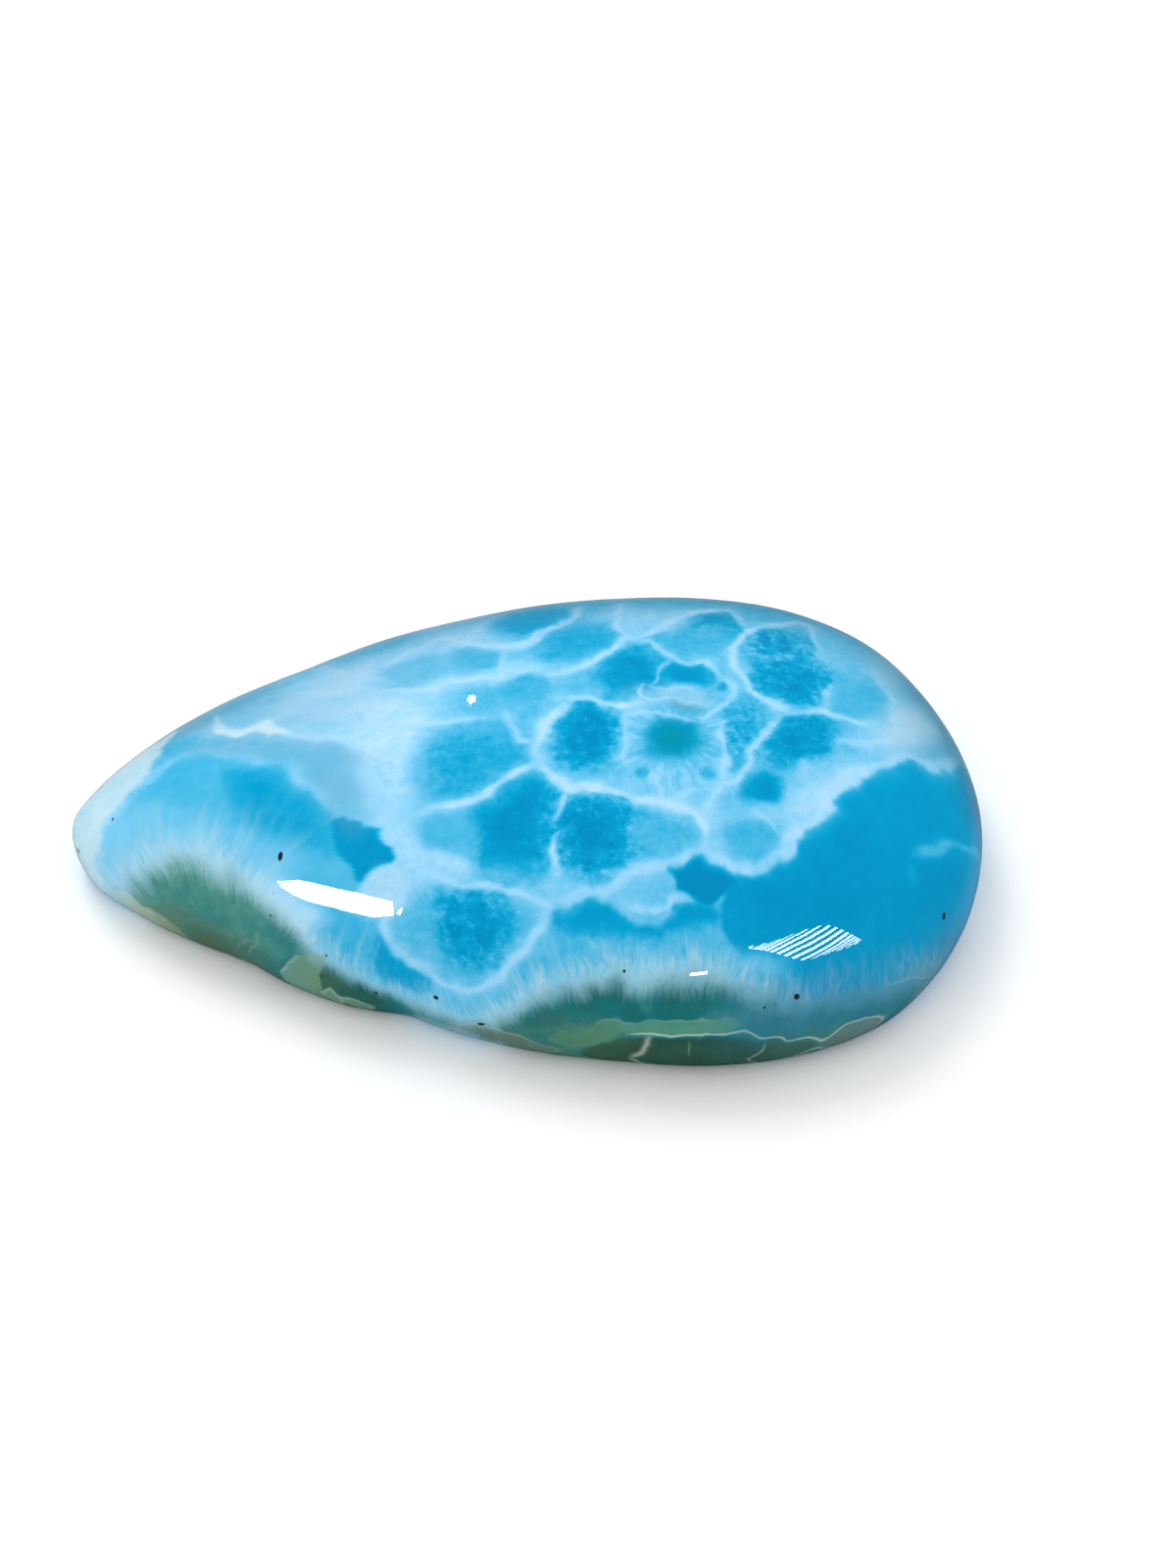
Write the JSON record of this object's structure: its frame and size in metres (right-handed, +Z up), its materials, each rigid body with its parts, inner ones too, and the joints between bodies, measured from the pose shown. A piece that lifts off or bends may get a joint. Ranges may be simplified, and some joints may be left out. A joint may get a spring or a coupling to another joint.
{
  "type": "larimar cabochon",
  "caption": "Polished pear-shaped larimar cabochon with a domed top, rounded edge and flat ground back, to rest on a surface or set in a bezel.",
  "frame": {"origin": "on the flat back, at the middle of the stone's length and breadth", "axes": "+X along the length, from the narrow tip to the broad butt; +Y across the breadth; +Z up, out of the domed top"},
  "size_m": [0.05, 0.0323, 0.01],
  "materials": {
    "polished_larimar": "high polish on the dome and edge, satin-ground flat back"
  },
  "bodies": {
    "root": {"larimar_cabochon": "polished_larimar"}
  },
  "joints": []
}
